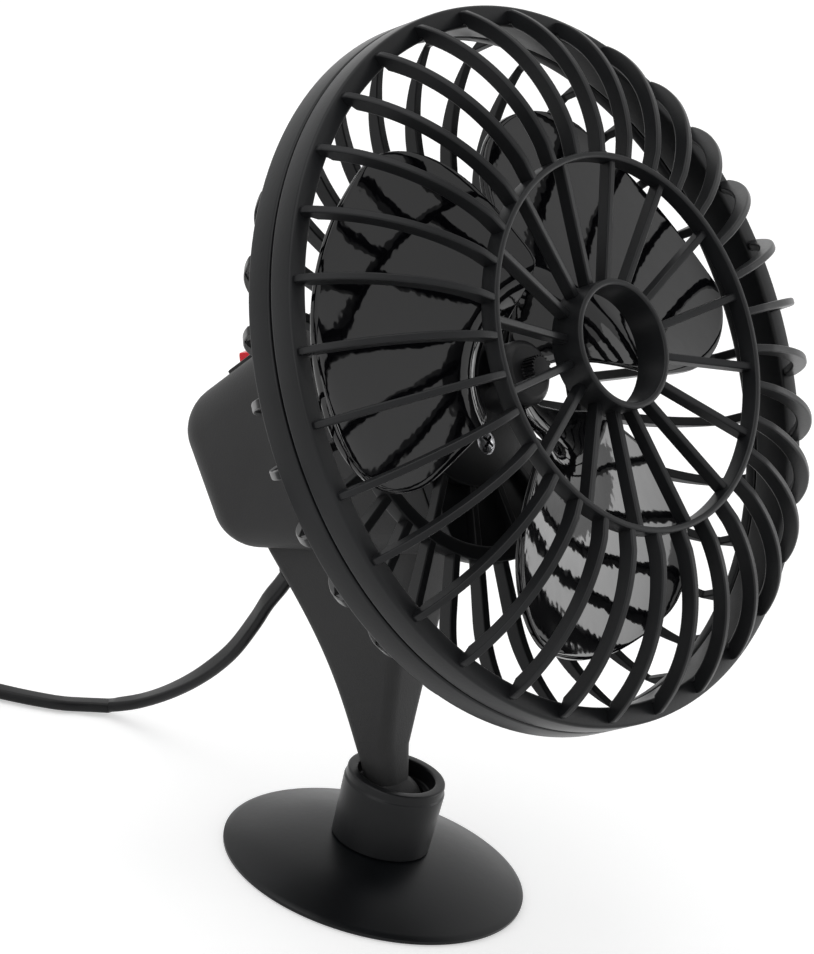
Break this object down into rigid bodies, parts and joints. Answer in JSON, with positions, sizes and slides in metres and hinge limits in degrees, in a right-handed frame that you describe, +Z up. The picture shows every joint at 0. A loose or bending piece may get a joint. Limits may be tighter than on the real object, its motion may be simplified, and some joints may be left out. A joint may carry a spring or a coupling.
{
  "type": "car fan",
  "caption": "Small car fan: domed round grille over a twisted-blade propeller, boxy motor housing, gusset stalk, ball socket, suction cup and coiled cord with a lighter-socket plug.",
  "frame": {"origin": "On the floor under the middle of the box round everything but the cord, plug and tie. The suction cup's lip stands on z = 0.", "axes": "+Z up along the suction cup's axis, -Y the side the fan faces, +X to the fan's own left as seen from the front."},
  "size_m": [0.2154, 0.175, 0.168],
  "materials": {
    "guard_black": "satin moulded black plastic",
    "housing_charcoal": "fine matte charcoal plastic",
    "blade_black": "piano gloss black plastic",
    "cup_black": "satin soft PVC, bluish black",
    "cord_black": "satin PVC sheath",
    "rocker_red": "glossy red plastic",
    "steel": "plated steel",
    "brass": "plain brass",
    "copper": "copper",
    "magnet_grey": "sintered ferrite, matte dark grey",
    "nylon_white": "natural white nylon"
  },
  "bodies": {
    "base": {"suction_cup": "cup_black", "power_cord_floor": "cord_black", "power_cord_coil": "cord_black", "power_cord_tail": "cord_black", "cord_tie": "cord_black", "plug_strain_relief": "cord_black", "plug_body": "guard_black", "plug_contact_left": "steel", "plug_contact_right": "steel", "plug_nut": "guard_black", "plug_fuse": "steel", "plug_spring": "steel"},
    "swivel": {"socket_collar": "guard_black", "power_cord_fall": "cord_black"},
    "head": {"stalk": "housing_charcoal", "motor_housing": "housing_charcoal", "rear_guard": "guard_black", "front_guard": "guard_black", "plate_screw_upper": "steel", "plate_screw_lower": "steel", "motor_can": "steel", "motor_end_cap": "nylon_white", "motor_bush_front": "brass", "motor_bush_rear": "brass", "motor_magnet_right": "magnet_grey", "motor_magnet_left": "magnet_grey", "motor_brush_upper": "copper", "motor_brush_lower": "copper", "motor_terminal_upper": "brass", "motor_terminal_lower": "brass", "switch_body": "guard_black", "switch_terminal_front": "brass", "switch_terminal_rear": "brass", "strain_relief": "cord_black"},
    "rotor": {"fan_blade": "blade_black", "motor_shaft": "steel", "armature_core": "steel", "armature_winding_1": "copper", "armature_winding_2": "copper", "armature_winding_3": "copper", "commutator": "copper"},
    "rocker_body": {"rocker": "rocker_red"},
    "plug_tip_body": {"plug_tip": "steel"}
  },
  "joints": [
    {"name": "swivel", "type": "hinge", "parent": "base", "child": "swivel", "pos_m": [0.01066, 0.00472, 0.0137], "axis": [0, 0, 1], "range_deg": [-45, 45], "deforming": ["power_cord_floor"]},
    {"name": "head_tilt", "type": "hinge", "parent": "swivel", "child": "head", "pos_m": [0.01066, 0.00472, 0.0138], "axis": [1, 0, 0], "range_deg": [0, 34], "deforming": ["power_cord_fall"]},
    {"name": "fan_spin", "type": "hinge", "parent": "head", "child": "rotor", "pos_m": [0, -0.0114, 0.11212], "axis": [0, -0.8059, 0.592], "continuous": true},
    {"name": "rocker_switch", "type": "hinge", "parent": "head", "child": "rocker_body", "pos_m": [-0.00247, 0.04738, 0.08896], "axis": [-0.9885, -0.0895, -0.1219], "range_deg": [0, 14]},
    {"name": "plug_tip_slide", "type": "slide", "parent": "base", "child": "plug_tip_body", "axis": [0.7488, 0.6627, 0], "range_m": [0, 0.003], "stiffness_N_per_m": 900, "springref_m": -0.001, "deforming": ["plug_spring"]}
  ]
}
